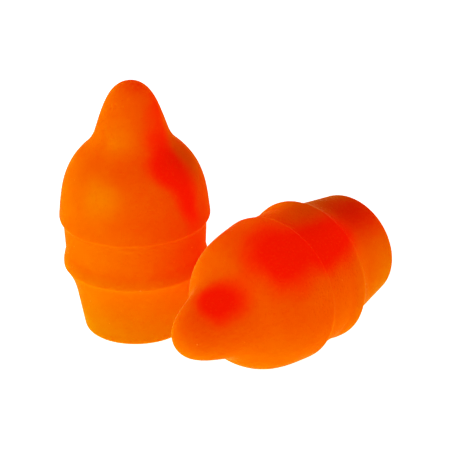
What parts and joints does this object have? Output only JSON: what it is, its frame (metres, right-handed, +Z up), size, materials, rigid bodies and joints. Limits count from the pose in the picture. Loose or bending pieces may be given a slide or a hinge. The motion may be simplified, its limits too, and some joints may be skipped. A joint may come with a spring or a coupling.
{
  "type": "foam ear plugs",
  "caption": "Moulded soft foam ear plugs, each with a tapered stem, a rounded ridge, a waist, a stepped dome and a long round nose.",
  "frame": {"origin": "centre of the standing plug's flat base, on the surface that both plugs rest on", "axes": "+Z up along the standing plug's axis, from its base to its tip; +X towards the lying plug, the longest side of the pair's box; the lying plug's nose points towards -X and -Y"},
  "size_m": [0.0304, 0.0251, 0.0245],
  "materials": {
    "foam": "soft slow-recovery polyurethane foam with a closed moulded skin, fluorescent orange, matt, with very fine pores"
  },
  "bodies": {
    "standing_plug": {"standing_plug": "foam"},
    "lying_plug": {"lying_plug": "foam"}
  },
  "joints": [
    {"name": "lying_plug_lift", "type": "slide", "parent": "standing_plug", "child": "lying_plug", "axis": [0, 0, 1], "range_m": [0, 0.04]}
  ]
}
